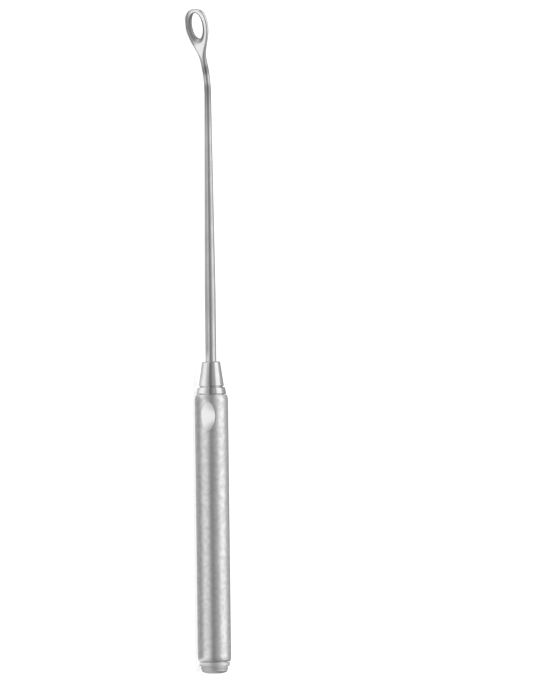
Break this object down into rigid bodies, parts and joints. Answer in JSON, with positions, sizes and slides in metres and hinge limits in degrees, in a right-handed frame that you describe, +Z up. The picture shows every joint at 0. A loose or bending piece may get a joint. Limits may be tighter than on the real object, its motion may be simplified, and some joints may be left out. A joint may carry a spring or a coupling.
{
  "type": "nasal curette",
  "caption": "Surgical curette with an oval ring blade on a bent neck, a slender tapered shaft, a polished cone ferrule and a hollow satin handle closed by an end cap.",
  "frame": {"origin": "middle of the end cap's flat end, on the handle's axis", "axes": "+Y along the handle's axis from the end cap to the ring, +Z up as the instrument lies at rest on its handle and the side of its ring, with the neck leaning to the left, and +X to the right"},
  "size_m": [0.0151, 0.21, 0.0106],
  "materials": {
    "ground_steel": "ground and polished stainless steel",
    "polished_steel": "mirror polished stainless steel",
    "satin_steel": "fine satin stainless steel"
  },
  "bodies": {
    "root": {"ring_curette": "ground_steel", "front_ferrule": "polished_steel", "handle_tube": "satin_steel", "end_cap": "polished_steel"}
  },
  "joints": []
}
